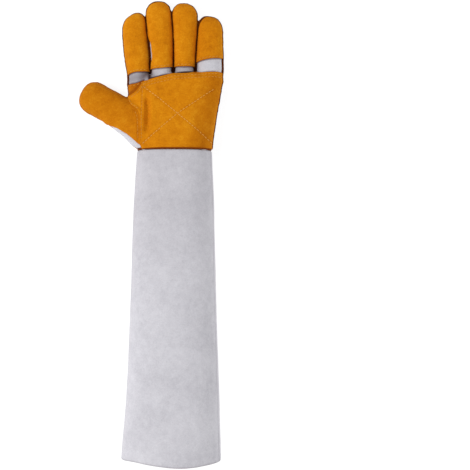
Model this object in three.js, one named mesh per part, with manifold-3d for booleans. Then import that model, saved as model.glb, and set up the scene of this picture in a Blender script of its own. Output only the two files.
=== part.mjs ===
// A long sleeved animal handling glove for the left hand, lying on its back with the palm up.
//
// The hand is a grey split leather shell: one back panel, a palm panel that runs on into the index finger,
// the little finger and the thumb, and separate fronts for the middle and ring fingers. Golden suede patches
// are sewn over the palm side, brown welts lie in the seams, and a long sleeve of two panels is joined on at
// the wrist.
//
// Millimetres. +X points from the thumb to the little finger, +Y along the fingers, +Z up out of the palm.
// The origin is on the surface under the middle of the glove.

import * as THREE from "three";
import { mergeVertices } from "three/addons/utils/BufferGeometryUtils.js";
import Module from "manifold-3d";

const wasm = await Module();
wasm.setup();

// Driving dimensions
const CUFF_Y = -300; // the hem at the open end
const WRIST_Y = 104; // the seam between the hand and the sleeve
const WALL = 1.5; // split leather of the hand and the sleeve
const PATCH = 1.5; // golden suede laid over it
const GAP = 0.3; // air between sewn pieces
const WELT_RADIUS = 1.1;
const WRIST_WELT_RADIUS = 1.3;
const WRIST_WELT_STEPS = 32;
const WELT_SIDES = 6;
const HAND_SEAM = 11; // height of the seam between the front and the back of the hand
const HEM_DEPTH = 12; // how far the cuff's edge is turned in
const HEM = 3.2; // thickness of that doubled edge
const HEM_SLOPE = 1; // how far along the sleeve the inside steps down from it
const FLATTENED = 1.2; // how far the lower half would sink if the surface didn't flatten it
const DOME = 2.3; // superellipse powers: a section's upper half, its lower half, and a tip seen from above
const BELLY = 3.2;
const TIP = 2.5;
const TIP_STEPS = 3;
const WELT_STEPS = { palm: 14, finger: 9, tip: 4 };
const SKY = 150; // higher than anything on the glove
const RUN_OUT = 1; // how far a cut runs past what it cuts
const MERGE = 1e-4; // points closer together than this are one

// From the outline, which the welts make, in to the grey leather
const EDGE = GAP + 2 * WELT_RADIUS;
const WELT_OFFSET = GAP + WELT_RADIUS;
const WRIST_MARGIN = GAP + WRIST_WELT_RADIUS;

// The palm gives way in one crease that runs up from the thumb's seam
const CREASE = { angle: 125, width: 10, depth: 3.4, middle: 45, length: 40 };

// Each tube starts at its base, runs along its heading (degrees from +X), and ends in a round tip. A row is
// one section: s is its place along the tube, left and right are how far the outline reaches from the tube's
// line, top is how high the grey leather stands, and seam the height of its widest line.
const TUBES = {
  palm: {
    base: [0, WRIST_Y],
    heading: 90,
    tip: 13,
    around: 36,
    stations: 7,
    rows: [
      { s: 0, left: 19.3, right: 80.9, top: 42, seam: HAND_SEAM },
      { s: 13, left: 26.5, right: 81.9, top: 40, seam: HAND_SEAM },
      { s: 39, left: 31.0, right: 85.9, top: 36, seam: HAND_SEAM },
      { s: 71, left: 30.3, right: 91.1, top: 32, seam: HAND_SEAM },
      { s: 89, left: 31.0, right: 94.0, top: 29, seam: HAND_SEAM },
    ],
  },
  index: {
    base: [-14.4, 172],
    heading: 94.3,
    tip: 19,
    around: 12,
    stations: 5,
    rows: [
      { s: 0, left: 13.0, right: 13.0, top: 18, seam: HAND_SEAM },
      { s: 16, left: 14.6, right: 14.4, top: 23, seam: HAND_SEAM },
      { s: 30, left: 14.8, right: 15.0, top: 24, seam: HAND_SEAM },
      { s: 63, left: 17.2, right: 15.7, top: 23, seam: HAND_SEAM },
      { s: 93, left: 16.8, right: 15.0, top: 21, seam: HAND_SEAM },
    ],
  },
  middle: {
    base: [15.6, 180],
    heading: 93.0,
    tip: 19,
    around: 12,
    stations: 5,
    rows: [
      { s: 0, left: 13.0, right: 13.0, top: 20, seam: HAND_SEAM },
      { s: 23, left: 14.6, right: 14.4, top: 25, seam: HAND_SEAM },
      { s: 55, left: 15.4, right: 16.4, top: 24, seam: HAND_SEAM },
      { s: 81, left: 16.8, right: 17.0, top: 23, seam: HAND_SEAM },
      { s: 101, left: 17.4, right: 16.4, top: 22, seam: HAND_SEAM },
    ],
  },
  ring: {
    base: [43.8, 182],
    heading: 89.8,
    tip: 18,
    around: 12,
    stations: 5,
    rows: [
      { s: 0, left: 12.6, right: 12.6, top: 20, seam: HAND_SEAM },
      { s: 24, left: 13.6, right: 13.6, top: 25, seam: HAND_SEAM },
      { s: 53, left: 14.0, right: 15.0, top: 24, seam: HAND_SEAM },
      { s: 79, left: 15.1, right: 16.9, top: 23, seam: HAND_SEAM },
      { s: 97, left: 16.4, right: 17.0, top: 22, seam: HAND_SEAM },
    ],
  },
  little: {
    base: [77, 170],
    heading: 90,
    tip: 20,
    around: 12,
    stations: 5,
    rows: [
      { s: 0, left: 14.0, right: 10.0, top: 16, seam: HAND_SEAM },
      { s: 18, left: 17.0, right: 14.6, top: 22, seam: HAND_SEAM },
      { s: 34, left: 18.2, right: 17.5, top: 24, seam: HAND_SEAM },
      { s: 65, left: 17.2, right: 18.1, top: 23, seam: HAND_SEAM },
      { s: 90, left: 15.6, right: 17.4, top: 21, seam: HAND_SEAM },
    ],
  },
  thumb: {
    base: [-12.1, 135.2],
    heading: 150,
    tip: 23,
    around: 14,
    stations: 4,
    rows: [
      { s: 0, left: 24.5, right: 20.0, top: 28, seam: HAND_SEAM },
      { s: 21, left: 22.6, right: 22.0, top: 27, seam: HAND_SEAM },
      { s: 36, left: 20.8, right: 22.8, top: 26, seam: HAND_SEAM },
      { s: 68.5, left: 20.8, right: 22.2, top: 24, seam: HAND_SEAM },
    ],
  },
  sleeve: {
    base: [0, CUFF_Y],
    heading: 90,
    around: 32,
    stations: 5,
    rows: [
      { s: 0, left: 37.3, right: 92.2, top: 66, seam: 26 },
      { s: 75, left: 31.9, right: 89.8, top: 63, seam: 23 },
      { s: 141, left: 28.4, right: 87.7, top: 58, seam: 20 },
      { s: 272, left: 24.0, right: 84.0, top: 51, seam: 15 },
      { s: 340, left: 21.8, right: 82.5, top: 47, seam: 13 },
      { s: WRIST_Y - CUFF_Y, left: 18.2, right: 79.7, top: 43, seam: HAND_SEAM },
    ],
  },
};
const FINGERS = ["index", "middle", "ring", "little"];

// Seen from above, the lines between one finger and the next: their x at the crotches and far past the tips
const BETWEEN = {
  index: { crotch: -0.8, far: -11.3 },
  middle: { crotch: 29.9, far: 25.5 },
  ring: { crotch: 58, far: 65 },
};
const FAR = { left: -130, right: 130, up: 330, down: 90 };

// The seam up the side of the thumb's root to its crotch, and the slanting edge that laps over the index
// finger's root
const THUMB_SEAM = [[-13.5, FAR.down], [-13.2, 158], [-23.5, 167.5], [-31, 173.8]];
const LAPPED_EDGE = [[-28, 175], [-14.5, 188], [-6, 196.4]];

// The thumb patch's lower edge, which leaves a sliver of grey leather bare towards the wrist, and the line
// through the air round the thumb's upper side and tip
const THUMB_LOWER_EDGE = [[-75, 139], [-54, 134.7], [-42, 128.8], [-31.6, 120.9], [-22.4, 113], [-14.2, 105]];
const THUMB_FREE_SIDE = [[-34, 189.8], [-60, 230], [FAR.left, 230], [FAR.left, 139]];
const INDEX_BASE_TOP = [[-13, 194.6], [-21, 192.2], [-30, 190], [-34, 189.6]];
const INDEX_BASE_ROOT = [[-34, 176], [-31, 175.4]];
const PALM_TOP = [[1.3, 198.8], [27.6, 204.4], [57.9, 206.2], [71, 207.2], [97, 203.2], [FAR.right, 201]];

// Each finger's patch starts at the upper edge of a bare band, and the fronts of the middle and ring fingers
// start at its lower edge. The lines run across a finger's root from right to left.
const BAND_TOP = {
  index: [[BETWEEN.index.crotch, 205.2], [-20, 205.6], [-31, 201.7], [FAR.left, 198]],
  middle: [[BETWEEN.middle.crotch, 213.6], [BETWEEN.index.crotch, 210.4]],
  ring: [[BETWEEN.ring.crotch, 214.2], [BETWEEN.middle.crotch, 213.9]],
  little: [[FAR.right, 225.4], [75, 225.4], [BETWEEN.ring.crotch, 221]],
};
const BAND_BOTTOM = {
  middle: [[BETWEEN.middle.crotch, 206.4], [BETWEEN.index.crotch, 201.8]],
  ring: [[BETWEEN.ring.crotch, 208.2], [BETWEEN.middle.crotch, 207.4]],
};
const SIDES_OF = {
  index: { left: FAR.left, right: BETWEEN.index.far },
  middle: { left: BETWEEN.index.far, right: BETWEEN.middle.far },
  ring: { left: BETWEEN.middle.far, right: BETWEEN.ring.far },
  little: { left: BETWEEN.ring.far, right: FAR.right },
};

// Makes one closed geometry from rings of points. The rings run counterclockwise for someone who looks along
// the row of rings, and the end rings are closed over their middle points unless the row is a loop.
function skin(rings, loop = false) {
  const around = rings[0].length;
  const count = rings.length;
  const points = rings.flat();
  const index = [];
  for (let i = 0; i < (loop ? count : count - 1); i++) {
    for (let j = 0; j < around; j++) {
      const a = i * around + j;
      const b = i * around + ((j + 1) % around);
      const c = ((i + 1) % count) * around + j;
      const d = ((i + 1) % count) * around + ((j + 1) % around);
      index.push(a, c, b, b, c, d);
    }
  }
  if (!loop) {
    const first = points.push(middleOf(rings[0])) - 1;
    const last = points.push(middleOf(rings[count - 1])) - 1;
    const offset = (count - 1) * around;
    for (let j = 0; j < around; j++) {
      const k = (j + 1) % around;
      index.push(first, j, k, last, offset + k, offset + j);
    }
  }
  return toGeometry(points, index);
}

function middleOf(ring) {
  return ring.reduce((sum, point) => sum.add(point), new THREE.Vector3()).divideScalar(ring.length);
}

// Points that fall together, as at a tip, become one, and triangles that lose their area there are dropped
function toGeometry(points, index) {
  const raw = new THREE.BufferGeometry().setFromPoints(points);
  raw.setIndex(index);
  const merged = mergeVertices(raw, MERGE);
  const old = merged.index.array;
  const kept = [];
  for (let i = 0; i < old.length; i += 3) {
    const [a, b, c] = [old[i], old[i + 1], old[i + 2]];
    if (a !== b && b !== c && c !== a) kept.push(a, b, c);
  }
  merged.setIndex(kept);
  return merged;
}

// A closed sheet between an outer and an inner grid of points, both listed as rows of the same length
function slab(outer, inner) {
  const rows = outer.length;
  const columns = outer[0].length;
  const points = [...outer.flat(), ...inner.flat()];
  const under = rows * columns;
  const at = (i, j) => i * columns + j;
  const index = [];
  const quad = (a, b, c, d) => index.push(a, b, c, a, c, d);
  for (let i = 0; i < rows - 1; i++) {
    for (let j = 0; j < columns - 1; j++) {
      quad(at(i, j), at(i + 1, j), at(i + 1, j + 1), at(i, j + 1));
      quad(under + at(i, j), under + at(i, j + 1), under + at(i + 1, j + 1), under + at(i + 1, j));
    }
  }
  const edge = [];
  for (let j = 0; j < columns - 1; j++) edge.push([at(0, j), at(0, j + 1)]);
  for (let i = 0; i < rows - 1; i++) edge.push([at(i, columns - 1), at(i + 1, columns - 1)]);
  for (let j = columns - 1; j > 0; j--) edge.push([at(rows - 1, j), at(rows - 1, j - 1)]);
  for (let i = rows - 1; i > 0; i--) edge.push([at(i, 0), at(i - 1, 0)]);
  for (const [a, b] of edge) quad(a, b, under + b, under + a);
  return toGeometry(points, index);
}

// The section of a tube at the place s, read off a smooth curve through its table: the middle of its outline
// beside the tube's line, half the outline's width, its height, and the height of its widest line
function sectionAt(tube, s) {
  const places = tube.rows.map((row) => row.s);
  const values = tube.rows.flatMap((row) => [
    (row.right - row.left) / 2, (row.right + row.left) / 2, row.top, row.seam,
  ]);
  const clamped = THREE.MathUtils.clamp(s, places[0], places[places.length - 1]);
  const [middle, half, top, seam] = new THREE.CubicInterpolant(places, values, 4).evaluate(clamped);
  return { middle, half, top, seam };
}

function lengthOf(tube) {
  return tube.rows[tube.rows.length - 1].s;
}

// From a tube's own frame, s along it and r to its right, into the glove's
function place(tube, s, r, z) {
  const heading = THREE.MathUtils.degToRad(tube.heading);
  const [x, y] = tube.base;
  const along = [Math.cos(heading), Math.sin(heading)];
  return new THREE.Vector3(x + s * along[0] + r * along[1], y + s * along[1] - r * along[0], z);
}

// A point at an angle round the section at s, grown by the offset. The scale shrinks the section towards a
// tip.
function sectionPoint(tube, s, angle, offset, scale = 1) {
  const section = sectionAt(tube, s);
  const edge = tube === TUBES.sleeve ? 0 : EDGE;
  const turn = THREE.MathUtils.degToRad(angle);
  const upper = angle >= 0 && angle <= 180;
  const power = 2 / (upper ? DOME : BELLY);
  const across = Math.sign(Math.cos(turn)) * Math.abs(Math.cos(turn)) ** power;
  const height = Math.abs(Math.sin(turn)) ** power;
  const reach = section.half - edge + offset;
  const rise = upper
    ? section.top + offset - section.seam - creaseAt(tube, s, angle)
    : -(section.seam + FLATTENED + offset);
  const z = Math.max(section.seam + rise * height * scale, -offset);
  return { r: section.middle + reach * across * scale, z };
}

function creaseAt(tube, s, angle) {
  if (tube !== TUBES.palm) return 0;
  const aside = Math.max(0, 1 - Math.abs(angle - CREASE.angle) / CREASE.width);
  const along = Math.max(0, 1 - ((s - CREASE.middle) / (CREASE.length / 2)) ** 2);
  return CREASE.depth * aside * along;
}

// Where a round tip's points lie: how far out along it, and how much of the section is left there
function tipSteps(steps) {
  return Array.from({ length: steps }, (_, i) => {
    const turn = ((i + 1) / steps) * (Math.PI / 2);
    return { out: Math.sin(turn) ** (2 / TIP), scale: Math.max(Math.cos(turn), 0) ** (2 / TIP) };
  });
}

// One tube of the hand, closed at both ends, its leather's outside grown by the offset
function tubeGeometry(tube, offset, start) {
  const body = lengthOf(tube);
  const stations = [];
  for (let i = 0; i <= tube.stations; i++) {
    stations.push({ s: start + ((body - start) * i) / tube.stations, scale: 1 });
  }
  for (const { out, scale } of tipSteps(TIP_STEPS)) {
    stations.push({ s: body + (tube.tip - EDGE + offset) * out, scale });
  }
  const rings = stations.map(({ s, scale }) =>
    Array.from({ length: tube.around }, (_, j) => {
      const angle = ((j + 0.5) * 360) / tube.around;
      const { r, z } = sectionPoint(tube, s, angle <= 180 ? angle : angle - 360, offset, scale);
      return place(tube, s, r, z);
    }),
  );
  return skin(rings);
}

function toSolid(geometry) {
  const bare = geometry.clone();
  bare.deleteAttribute("normal");
  bare.deleteAttribute("uv");
  const merged = mergeVertices(bare, MERGE);
  const vertProperties = Float32Array.from(merged.attributes.position.array);
  const triVerts = Uint32Array.from(merged.index.array);
  return new wasm.Manifold(new wasm.Mesh({ numProp: 3, vertProperties, triVerts }));
}

function fromSolid(solid) {
  const { vertProperties, triVerts, numProp } = solid.getMesh();
  const geometry = new THREE.BufferGeometry();
  const positions = new Float32Array((vertProperties.length / numProp) * 3);
  for (let i = 0; i < positions.length / 3; i++) {
    positions.set(vertProperties.subarray(i * numProp, i * numProp + 3), i * 3);
  }
  geometry.setAttribute("position", new THREE.BufferAttribute(positions, 3));
  geometry.setIndex(Array.from(triVerts));
  return geometry;
}

// An upright prism over an outline seen from above
function prism(outline, bottom, top) {
  const shape = new THREE.Shape(outline.map(([x, y]) => new THREE.Vector2(x, y)));
  const geometry = new THREE.ExtrudeGeometry(shape, { depth: top - bottom, bevelEnabled: false });
  return toSolid(geometry.translate(0, 0, bottom));
}

function moved(outline, dx, dy) {
  return outline.map(([x, y]) => [x + dx, y + dy]);
}

// All the tubes of the hand as one solid
function handSolid(offset, start) {
  let hand = toSolid(tubeGeometry(TUBES.palm, offset, start));
  for (const name of [...FINGERS, "thumb"]) hand = hand.add(toSolid(tubeGeometry(TUBES[name], offset, 0)));
  return hand;
}

// Hand leather
const everywhere = [[FAR.left, FAR.down], [FAR.right, FAR.down], [FAR.right, FAR.up], [FAR.left, FAR.up]];
const opened = WRIST_MARGIN - RUN_OUT; // the hollow starts before the leather does, so the wrist is open
const shell = handSolid(0, WRIST_MARGIN).subtract(handSolid(-WALL, opened));
const handBack = shell.intersect(prism(everywhere, -RUN_OUT, HAND_SEAM - GAP / 2));
const handFront = shell.intersect(prism(everywhere, HAND_SEAM + GAP / 2, SKY));

// A finger from a line across its root, right to left, out past its tip, grown by the given amount
function fingerOutline(name, rootLine, grown = 0) {
  const { left, right } = SIDES_OF[name];
  const root = moved(rootLine, 0, -grown);
  root[0][0] += grown;
  root[root.length - 1][0] -= grown;
  return [...root, [left - grown, FAR.up], [right + grown, FAR.up]];
}

function fingerFront(name, grown) {
  return prism(fingerOutline(name, BAND_BOTTOM[name], grown), 0, SKY);
}

const middleFront = handFront.intersect(fingerFront("middle", -GAP / 2));
const ringFront = handFront.intersect(fingerFront("ring", -GAP / 2));
const palmFront = handFront.subtract(fingerFront("middle", GAP / 2)).subtract(fingerFront("ring", GAP / 2));

// Golden patches, all cut from one layer over the leather
const layer = handSolid(GAP + PATCH, WRIST_MARGIN).subtract(handSolid(GAP, opened));
const patchBottom = HAND_SEAM + WELT_RADIUS + GAP;
function patch(outline) {
  return layer.intersect(prism(outline, patchBottom, SKY));
}

const patches = {
  thumb_patch: patch([...moved(THUMB_SEAM, -GAP, -GAP / 2), ...THUMB_FREE_SIDE, ...THUMB_LOWER_EDGE]),
  index_base_patch: patch([...INDEX_BASE_ROOT, ...moved(LAPPED_EDGE, -GAP, GAP), ...INDEX_BASE_TOP]),
  palm_patch: patch([...THUMB_SEAM, ...LAPPED_EDGE, ...PALM_TOP, [FAR.right, FAR.down]]),
};
for (const name of FINGERS) patches[`${name}_patch`] = patch(fingerOutline(name, BAND_TOP[name]));

// Seen from above, whether a point lies inside a tube that is grown by the offset
function isInside(tube, point, offset) {
  const heading = THREE.MathUtils.degToRad(tube.heading);
  const [dx, dy] = [point.x - tube.base[0], point.y - tube.base[1]];
  const s = dx * Math.cos(heading) + dy * Math.sin(heading);
  const r = dx * Math.sin(heading) - dy * Math.cos(heading);
  const section = sectionAt(tube, s);
  const out = Math.max(0, (s - lengthOf(tube)) / (tube.tip - EDGE + offset));
  const scale = Math.max(0, 1 - out ** TIP) ** (1 / TIP);
  return s > 0 && Math.abs(r - section.middle) < (section.half - EDGE + offset) * scale;
}

// A tube's outline seen from above, up its left side, round its tip and down its right side
function outlineOf(tube, start, steps, tipPoints) {
  const left = [];
  const right = [];
  const add = (s, scale) => {
    left.push(place(tube, s, sectionPoint(tube, s, 180, WELT_OFFSET, scale).r, HAND_SEAM));
    right.unshift(place(tube, s, sectionPoint(tube, s, 0, WELT_OFFSET, scale).r, HAND_SEAM));
  };
  for (let i = 0; i <= steps; i++) add(start + ((lengthOf(tube) - start) * i) / steps, 1);
  if (!tipPoints) return { left, right };
  const tips = tipSteps(tipPoints);
  const length = tube.tip - EDGE + WELT_OFFSET;
  for (const { out, scale } of tips.slice(0, -1)) add(lengthOf(tube) + length * out, scale);
  const end = place(tube, lengthOf(tube) + length, sectionAt(tube, lengthOf(tube)).middle, HAND_SEAM);
  return { left: [...left, end], right };
}

// A round cord along a path, with flat ends, or closed into a ring
function cord(path, radius, up, loop = false) {
  const count = path.length;
  const rings = path.map((point, i) => {
    const before = path[loop ? (i + count - 1) % count : Math.max(i - 1, 0)];
    const after = path[loop ? (i + 1) % count : Math.min(i + 1, count - 1)];
    const ahead = new THREE.Vector3().subVectors(after, before).normalize();
    const aside = new THREE.Vector3().crossVectors(ahead, up).normalize();
    return Array.from({ length: WELT_SIDES }, (_, j) => {
      const turn = (j / WELT_SIDES) * 2 * Math.PI;
      const round = point.clone().addScaledVector(aside, radius * Math.cos(turn));
      return round.addScaledVector(up, radius * Math.sin(turn));
    });
  });
  return skin(rings, loop);
}

// Welts in the seams round the hand. Each follows the outline of its finger as far as the palm leaves it
// bare.
const UP = new THREE.Vector3(0, 0, 1);
function clearOf(points, others) {
  return points.filter((point) => !others.some((name) => isInside(TUBES[name], point, WELT_OFFSET + GAP)));
}
const palmSides = outlineOf(TUBES.palm, WRIST_MARGIN + WELT_RADIUS, WELT_STEPS.palm, 0);
const fingerSides = {};
for (const name of [...FINGERS, "thumb"]) {
  const { left, right } = outlineOf(TUBES[name], 0, WELT_STEPS.finger, WELT_STEPS.tip);
  fingerSides[name] = clearOf([...left, ...right], ["palm"]);
}
const thumbLowest = fingerSides.thumb[0];
const thumbHighest = fingerSides.thumb[fingerSides.thumb.length - 1];
const palmLeft = clearOf(palmSides.left, ["thumb", "index"]);
const weltPaths = {
  thumb_welt: [...palmLeft.filter((point) => point.y < thumbLowest.y), ...fingerSides.thumb],
  index_welt: [...palmLeft.filter((point) => point.y > thumbHighest.y), ...fingerSides.index],
  middle_welt: fingerSides.middle,
  ring_welt: fingerSides.ring,
  little_welt: [...fingerSides.little, ...clearOf(palmSides.right, ["little"])],
};

// Sleeve, its cuff edge turned in and sewn down
const sleeve = TUBES.sleeve;
const sleeveEnd = lengthOf(sleeve) - WRIST_MARGIN;
function sleevePanel(isFront) {
  const half = sleeve.around / 2;
  const row = (s, offset) =>
    Array.from({ length: half + 1 }, (_, j) => {
      const angle = ((j / half) * 180) - (isFront ? 0 : 180);
      const { r, z } = sectionPoint(sleeve, s, angle, offset);
      const { seam } = sectionAt(sleeve, s);
      const height = isFront ? Math.max(z, seam + GAP / 2) : Math.min(z, seam - GAP / 2);
      return place(sleeve, s, r, height);
    });
  const stations = [0, HEM_DEPTH, HEM_DEPTH + HEM_SLOPE];
  for (let i = 1; i <= sleeve.stations; i++) {
    stations.push(HEM_DEPTH + ((sleeveEnd - HEM_DEPTH) * i) / sleeve.stations);
  }
  const outer = stations.map((s) => row(s, 0));
  const inner = stations.map((s) => row(s, s > HEM_DEPTH ? -WALL : -HEM));
  return slab(outer, inner);
}

// Welt between the hand and the sleeve, a ring that lies in the gap between their edges
const wristRing = Array.from({ length: WRIST_WELT_STEPS }, (_, j) => {
  const angle = (j * 360) / WRIST_WELT_STEPS;
  const { r, z } = sectionPoint(TUBES.palm, 0, angle <= 180 ? angle : angle - 360, 0);
  return new THREE.Vector3(r, WRIST_Y, Math.max(z, WRIST_WELT_RADIUS + GAP));
});

// Materials
const gold = new THREE.MeshStandardMaterial({ color: 0xd68714, roughness: 0.95, metalness: 0 });
const grey = new THREE.MeshStandardMaterial({ color: 0xc6c5cb, roughness: 0.95, metalness: 0 });
const brown = new THREE.MeshStandardMaterial({ color: 0x5f2512, roughness: 0.8, metalness: 0 });

const glove = new THREE.Group();
function piece(name, geometry, material) {
  geometry.computeVertexNormals();
  const mesh = new THREE.Mesh(geometry, material);
  mesh.name = name;
  glove.add(mesh);
}

piece("sleeve_front", sleevePanel(true), grey);
piece("sleeve_back", sleevePanel(false), grey);
piece("hand_back", fromSolid(handBack), grey);
piece("palm_front", fromSolid(palmFront), grey);
piece("middle_front", fromSolid(middleFront), grey);
piece("ring_front", fromSolid(ringFront), grey);
for (const [name, solid] of Object.entries(patches)) piece(name, fromSolid(solid), gold);
for (const [name, path] of Object.entries(weltPaths)) piece(name, cord(path, WELT_RADIUS, UP), brown);
piece("wrist_welt", cord(wristRing, WRIST_WELT_RADIUS, new THREE.Vector3(0, 1, 0), true), brown);

export default glove;
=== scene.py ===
"""A long sleeved animal handling glove for the left hand, lying on its back with the palm up.

The hand is modelled as one smooth field, the distance to its leather. Each of its sheets lies between two
levels of that field, the grey shell under level 0 and the golden patches above it, so they follow each other
through every fold. Sizes are millimetres until a mesh is made.
"""

import itertools

import bpy
import numpy as np
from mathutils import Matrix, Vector


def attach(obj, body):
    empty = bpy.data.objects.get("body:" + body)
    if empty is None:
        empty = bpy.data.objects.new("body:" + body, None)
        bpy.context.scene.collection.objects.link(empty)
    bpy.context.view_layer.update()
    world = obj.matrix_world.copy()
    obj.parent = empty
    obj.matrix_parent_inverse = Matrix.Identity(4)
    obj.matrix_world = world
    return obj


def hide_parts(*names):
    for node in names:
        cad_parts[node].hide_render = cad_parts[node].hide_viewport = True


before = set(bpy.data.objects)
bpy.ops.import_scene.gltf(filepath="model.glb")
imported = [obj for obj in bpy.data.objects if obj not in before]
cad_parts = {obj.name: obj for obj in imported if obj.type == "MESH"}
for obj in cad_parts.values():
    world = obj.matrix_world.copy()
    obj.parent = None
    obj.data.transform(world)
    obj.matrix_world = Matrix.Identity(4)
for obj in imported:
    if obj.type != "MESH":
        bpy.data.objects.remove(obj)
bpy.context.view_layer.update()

MM = 0.001

# Driving dimensions, the same as the construction's
CUFF_Y = -300
WRIST_Y = 104
WALL = 1.5
PATCH = 1.5
GAP = 0.3
WELT_RADIUS = 1.1
WRIST_WELT_RADIUS = 1.3
HAND_SEAM = 11
HEM_DEPTH = 12
HEM = 3.2
FLATTENED = 1.2
DOME, BELLY, TIP = 2.3, 3.2, 2.5
EDGE = GAP + 2 * WELT_RADIUS
WELT_OFFSET = GAP + WELT_RADIUS
WRIST_MARGIN = GAP + WRIST_WELT_RADIUS

# Each tube starts at its base, runs along its heading (degrees from +X) and ends in a round tip. A row is
# one section: its place along the tube, how far the outline reaches left and right of the tube's line, how
# high the leather stands, and the height of its widest line, which is the hand's seam where a row doesn't
# say. A slant makes the tip reach farther on its right side.
TUBES = {
    "palm": {"base": (0, WRIST_Y), "heading": 90, "tip": 13, "rows": [
        (0, 19.3, 80.9, 42),
        (13, 26.5, 81.9, 40),
        (39, 31.0, 85.9, 36),
        (71, 30.3, 91.1, 32),
        (89, 31.0, 94.0, 29),
    ]},
    "index": {"base": (-14.4, 172), "heading": 94.3, "tip": 18.3, "slant": 0.38, "rows": [
        (0, 13.0, 13.0, 18),
        (16, 14.6, 14.4, 23),
        (30, 14.8, 15.0, 24),
        (63, 17.2, 15.7, 23),
        (93, 16.8, 15.0, 21),
    ]},
    "middle": {"base": (15.6, 180), "heading": 93.0, "tip": 19, "rows": [
        (0, 13.0, 13.0, 20),
        (23, 14.6, 14.4, 25),
        (55, 15.4, 16.4, 24),
        (81, 16.8, 17.0, 23),
        (101, 17.4, 16.4, 22),
    ]},
    "ring": {"base": (43.8, 182), "heading": 89.8, "tip": 18, "slant": -0.12, "rows": [
        (0, 12.6, 12.6, 20),
        (24, 13.6, 13.6, 25),
        (53, 14.0, 15.0, 24),
        (79, 15.1, 16.9, 23),
        (97, 16.4, 17.0, 22),
    ]},
    "little": {"base": (77, 170), "heading": 90, "tip": 20, "slant": -0.15, "rows": [
        (0, 14.0, 10.0, 16),
        (18, 17.0, 14.6, 22),
        (34, 18.2, 17.5, 24),
        (65, 17.2, 18.1, 23),
        (90, 15.6, 17.4, 21),
    ]},
    "thumb": {"base": (-12.1, 135.2), "heading": 150, "tip": 23, "rows": [
        (0, 24.5, 20.0, 28),
        (21, 22.6, 22.0, 27),
        (36, 20.8, 22.8, 26),
        (68.5, 20.8, 22.2, 24),
    ]},
    "sleeve": {"base": (0, CUFF_Y), "heading": 90, "tip": 0, "rows": [
        (0, 37.3, 92.2, 66, 26),
        (75, 31.9, 89.8, 63, 23),
        (141, 28.4, 87.7, 58, 20),
        (272, 24.0, 84.0, 51, 15),
        (340, 21.8, 82.5, 47, 13),
        (WRIST_Y - CUFF_Y, 18.2, 79.7, 43),
    ]},
}
for tube in TUBES.values():
    tube["rows"] = [row if len(row) == 5 else (*row, HAND_SEAM) for row in tube["rows"]]
FINGERS = ("index", "middle", "ring", "little")

# Seen from above, the lines between one finger and the next: their x at the crotches and far past the tips
BETWEEN = {"index": (-0.8, -11.3), "middle": (29.9, 25.5), "ring": (58, 65)}
FAR = 330
CONTACTS = [
    [(-0.8, 205), (-2.2, 223), (-4.9, 253), (-7.6, 276)],
    [(29.6, 203), (29.5, 237), (28.2, 269), (27.4, 281)],
    [(58, 203), (59.4, 237), (61.6, 269)],
]
CROTCHES = {"thumb": (-31.5, 174.5), "index": (-0.8, 207), "middle": (29.9, 209), "ring": (58, 209)}

# Edges of the golden patches and of the grey finger fronts, seen from above. The palm patch laps over the
# patches of the thumb and of the index finger's base along its side and its lapped edge.
PALM_SIDE = [(-6.2, 90), (-6.4, 103.8), (-11.8, 109), (-12.3, 138), (-13.4, 149.5), (-16.6, 154.4),
             (-22, 158.4), (-27.6, 162.4), (-31, 171.6)]
LAPPED_EDGE = [(-31, 171.6), (-18.9, 177.4), (-14.1, 182.6), (-8.2, 191.4)]
PALM_TOP = [(0.9, 195.0), (14.6, 198.2), (28.7, 201.4), (44.2, 202.8), (60.2, 203.8), (76, 204.9),
            (85, 205.4), (97, 205), (130, 204)]
INDEX_BASE_SIDE = [(-33, 188.8), (-29.4, 174.8), (-27.4, 172.9)]
INDEX_BASE_TOP = [(-8, 193.6), (-12.6, 191.8), (-19.2, 190), (-28.8, 189.2)]
THUMB_LOWER_EDGE = [(-80, 145.5), (-64, 140.6), (-53.5, 137.2), (-43.1, 132.6), (-30.1, 124.8),
                    (-21.5, 117.4), (-14.2, 110.8), (-3.5, 102.5)]
THUMB_FREE_SIDE = [(-34, 189.8), (-60, 230), (-130, 230), (-130, 146)]
THUMB_UNDERSIDE = [(-74, 140.4), (-64, 136), (-41.6, 126.1), (-28, 114.5), (-19.3, 102)]
PATCH_ROOT = {
    "index": [(-0.8, 206.4), (-9.9, 205), (-18.4, 204.8), (-24.6, 203.4), (-31, 201.2), (-130, 198)],
    "middle": [(29.9, 213.4), (22, 210.6), (12.8, 209.3), (-0.8, 209.2)],
    "ring": [(58, 212.9), (44.2, 211.3), (29.9, 212.6)],
    "little": [(130, 224.6), (92.2, 223.6), (84.4, 222.6), (76.1, 221.8), (67.8, 220.2), (58, 217.8)],
}
FRONT_ROOT = {
    "middle": [(29.9, 203.4), (20, 200.9), (8, 198.5), (-0.8, 196.9)],
    "ring": [(58, 206), (50, 204.5), (40, 204), (29.9, 204.4)],
}

# Where a patch stops short of the welt and leaves a pale rim: x, y, how far the rim runs, and how high
BARE = {
    "thumb_patch": [(-90, 187, 15, 4.5)],
    "index_patch": [(-22, 285, 9, 3)],
    "middle_patch": [(5, 299, 15, 4.5), (-1.3, 224, 10, 9.0), (-3.2, 240, 10, 8.5)],
    "little_patch": [(66, 273, 12, 4)],
}

# Fineness of the meshes
CELL = 1.0
SNAP = 0.28  # a corner this near a cut, as a share of its edge, moves onto it
MAP_STEP = 0.5
FAR_AWAY = 30.0


# Arrays of points

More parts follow.
